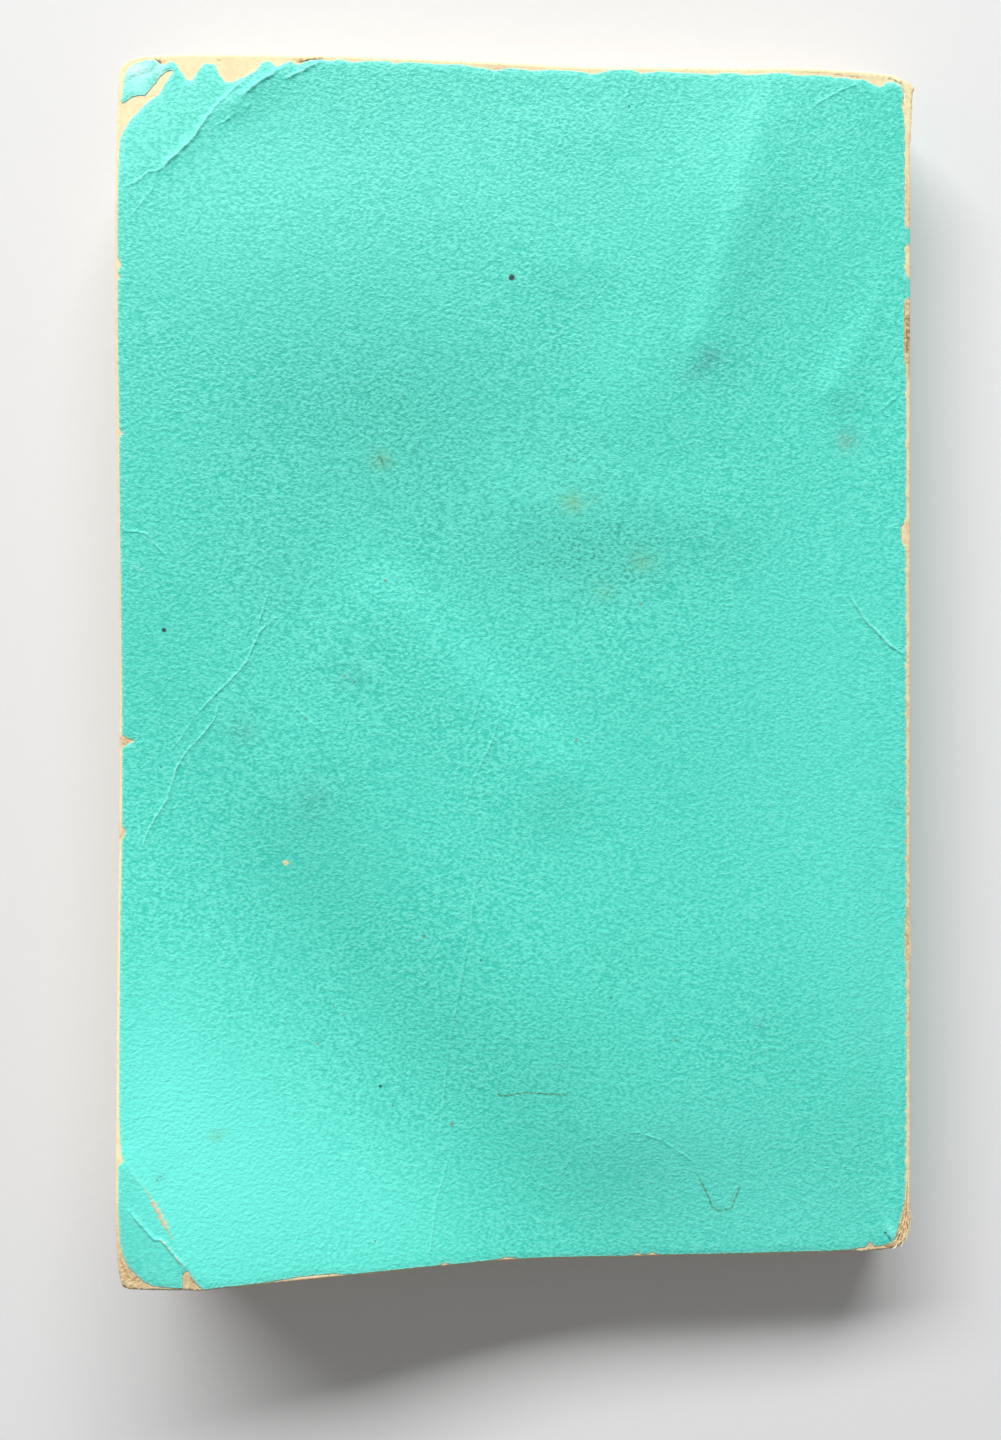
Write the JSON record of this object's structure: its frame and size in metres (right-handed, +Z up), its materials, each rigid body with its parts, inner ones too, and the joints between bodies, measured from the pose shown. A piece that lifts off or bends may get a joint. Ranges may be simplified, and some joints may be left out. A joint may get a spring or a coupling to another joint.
{
  "type": "textbook",
  "caption": "Worn paperback textbook lying on its front cover; back cover with curled fore-edge corners; both covers swing open on their folds.",
  "frame": {"origin": "middle of the book's footprint, on the surface it lies on", "axes": "+X from the fore-edge to the spine, +Y from the tail to the head of the pages, +Z up, out of the back cover"},
  "size_m": [0.151, 0.2286, 0.0301],
  "materials": {
    "pages": "matt, yellowed at the edges",
    "binding_glue": "dull, aged",
    "cover_core": "matt, fibrous",
    "cover_facing": "matt, leather grain"
  },
  "bodies": {
    "book_block": {"text_block": "pages", "spine_glue": "binding_glue", "spine_board": "cover_core", "spine_facing": "cover_facing"},
    "back_cover": {"back_cover_board": "cover_core", "back_cover_facing": "cover_facing"},
    "front_cover": {"front_cover_board": "cover_core", "front_cover_facing": "cover_facing"}
  },
  "joints": [
    {"name": "back_cover_fold", "type": "hinge", "parent": "book_block", "child": "back_cover", "pos_m": [0.07515, 0, 0.0146], "axis": [0, 1, 0], "range_deg": [0, 175]},
    {"name": "front_cover_fold", "type": "hinge", "parent": "book_block", "child": "front_cover", "pos_m": [0.07515, 0, 0.00034], "axis": [0, -1, 0], "range_deg": [0, 180]}
  ]
}
